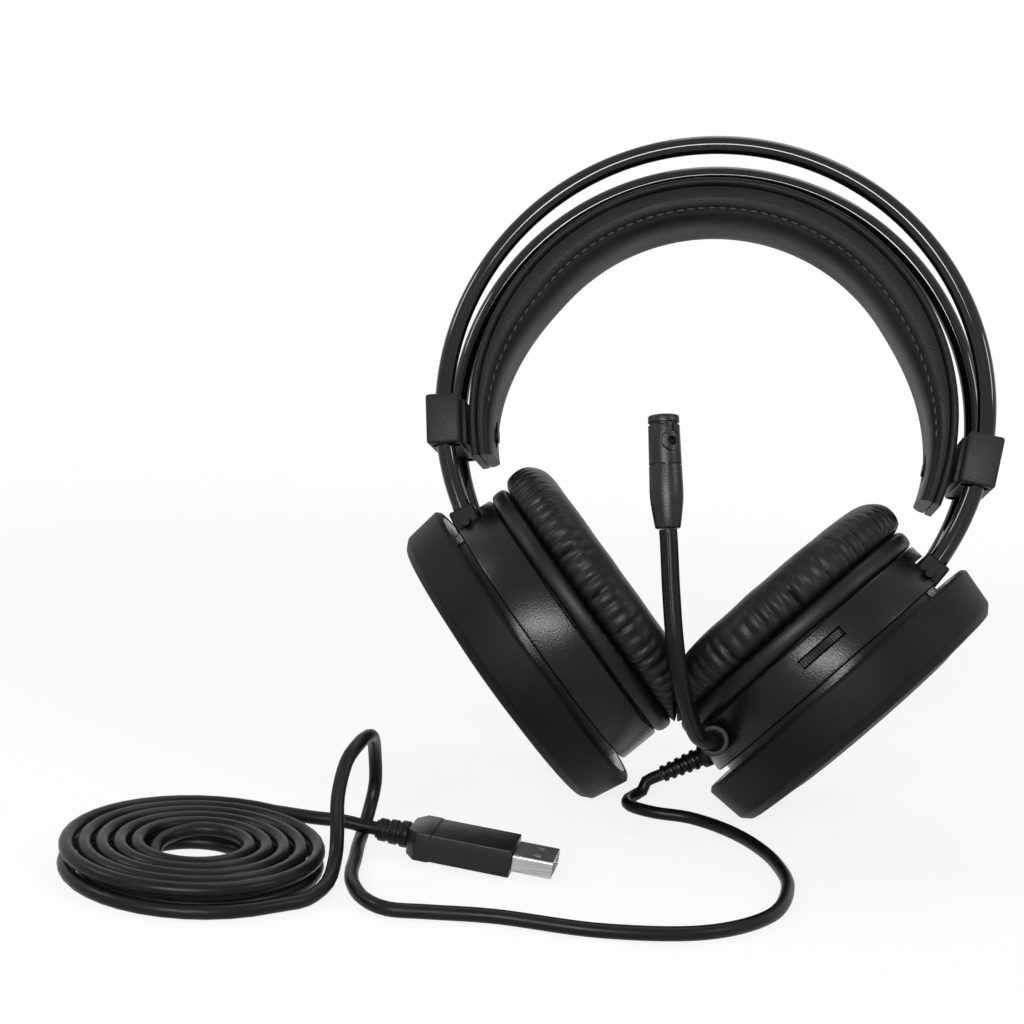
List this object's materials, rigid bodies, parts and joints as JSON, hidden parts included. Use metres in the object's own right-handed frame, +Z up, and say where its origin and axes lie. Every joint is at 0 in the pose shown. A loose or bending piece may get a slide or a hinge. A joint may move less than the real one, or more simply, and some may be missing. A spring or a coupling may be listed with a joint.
{
  "type": "gaming headset",
  "caption": "Over-ear gaming headset with twin arched rails, a sliding padded strap, tilting round ear cups, a boom microphone, a volume wheel and a coiled USB lead.",
  "frame": {"origin": "middle of the headband padding's underside, where a head or a stand carries the headset", "axes": "+Z up, +X to the wearer's left as the open front of the headset is faced, +Y to the back; the arch leans back 15 degrees about X, as it stands in the picture"},
  "size_m": [0.2312, 0.194, 0.1987],
  "materials": {
    "cup_plastic": "satin, fine grain",
    "rail_paint": "gloss",
    "leatherette": "semi-matte leatherette",
    "mesh_cloth": "open mesh",
    "bright_steel": "bright",
    "cord_rubber": "satin",
    "frosted_lens": "frosted, unlit",
    "circuit_board": "solder mask",
    "plug_insert": "plain"
  },
  "bodies": {
    "rail_frame": {"front_rail": "rail_paint", "rear_rail": "rail_paint", "left_hinge_block": "cup_plastic", "right_hinge_block": "cup_plastic", "left_hinge_pin": "bright_steel", "right_hinge_pin": "bright_steel", "cable_lead": "cord_rubber", "cable_coil": "cord_rubber", "usb_boot": "cord_rubber", "usb_plug_body": "cord_rubber", "usb_plug_shell": "bright_steel", "usb_plug_tongue": "plug_insert"},
    "headband": {"headband_cover": "leatherette", "headband_pad": "leatherette", "left_slider": "cup_plastic", "right_slider": "cup_plastic", "left_strap_stud": "bright_steel", "right_strap_stud": "bright_steel"},
    "left_cup": {"left_outer_cap": "cup_plastic", "left_light_ring": "frosted_lens", "left_cap_disc": "cup_plastic", "left_led_board": "circuit_board", "left_inner_housing": "cup_plastic", "left_baffle": "cup_plastic", "left_baffle_screw_1": "bright_steel", "left_baffle_screw_2": "bright_steel", "left_baffle_screw_3": "bright_steel", "left_driver_basket": "cup_plastic", "left_driver_magnet": "bright_steel", "left_diaphragm": "cup_plastic", "left_pad_skirt": "leatherette", "left_ear_pad": "leatherette", "left_ear_mesh": "mesh_cloth"},
    "right_cup": {"right_outer_cap": "cup_plastic", "right_light_ring": "frosted_lens", "right_cap_disc": "cup_plastic", "right_led_board": "circuit_board", "right_inner_housing": "cup_plastic", "right_baffle": "cup_plastic", "right_baffle_screw_1": "bright_steel", "right_baffle_screw_2": "bright_steel", "right_baffle_screw_3": "bright_steel", "right_driver_basket": "cup_plastic", "right_driver_magnet": "bright_steel", "right_diaphragm": "cup_plastic", "right_pad_skirt": "leatherette", "right_ear_pad": "leatherette", "right_ear_mesh": "mesh_cloth", "volume_pot": "circuit_board", "mic_socket": "cord_rubber", "cable_relief": "cord_rubber"},
    "mic_arm": {"mic_boom": "cord_rubber", "mic_capsule": "cup_plastic", "mic_screen": "mesh_cloth"},
    "volume_dial": {"volume_wheel": "cup_plastic"}
  },
  "joints": [
    {"name": "left_cup_tilt", "type": "hinge", "parent": "rail_frame", "child": "left_cup", "pos_m": [-0.06625, -0.02568, -0.09584], "axis": [0, 0.9659, -0.2588], "range_deg": [0, 12], "deforming": ["cable_lead"]},
    {"name": "right_cup_tilt", "type": "hinge", "parent": "rail_frame", "child": "right_cup", "pos_m": [0.06625, -0.02568, -0.09584], "axis": [0, -0.9659, 0.2588], "range_deg": [0, 12], "deforming": ["cable_lead"]},
    {"name": "headband_slide", "type": "slide", "parent": "rail_frame", "child": "headband", "axis": [0, 0.2588, 0.9659], "range_m": [-0.005, 0.005]},
    {"name": "mic_boom_swing", "type": "hinge", "parent": "right_cup", "child": "mic_arm", "pos_m": [0.01168, -0.06626, -0.14065], "axis": [0, -0.9659, 0.2588], "range_deg": [-50, 50]},
    {"name": "volume_turn", "type": "hinge", "parent": "right_cup", "child": "volume_dial", "pos_m": [0.03777, -0.06473, -0.11174], "axis": [-0.7408, 0.1739, 0.6488], "range_deg": [-140, 140]}
  ]
}
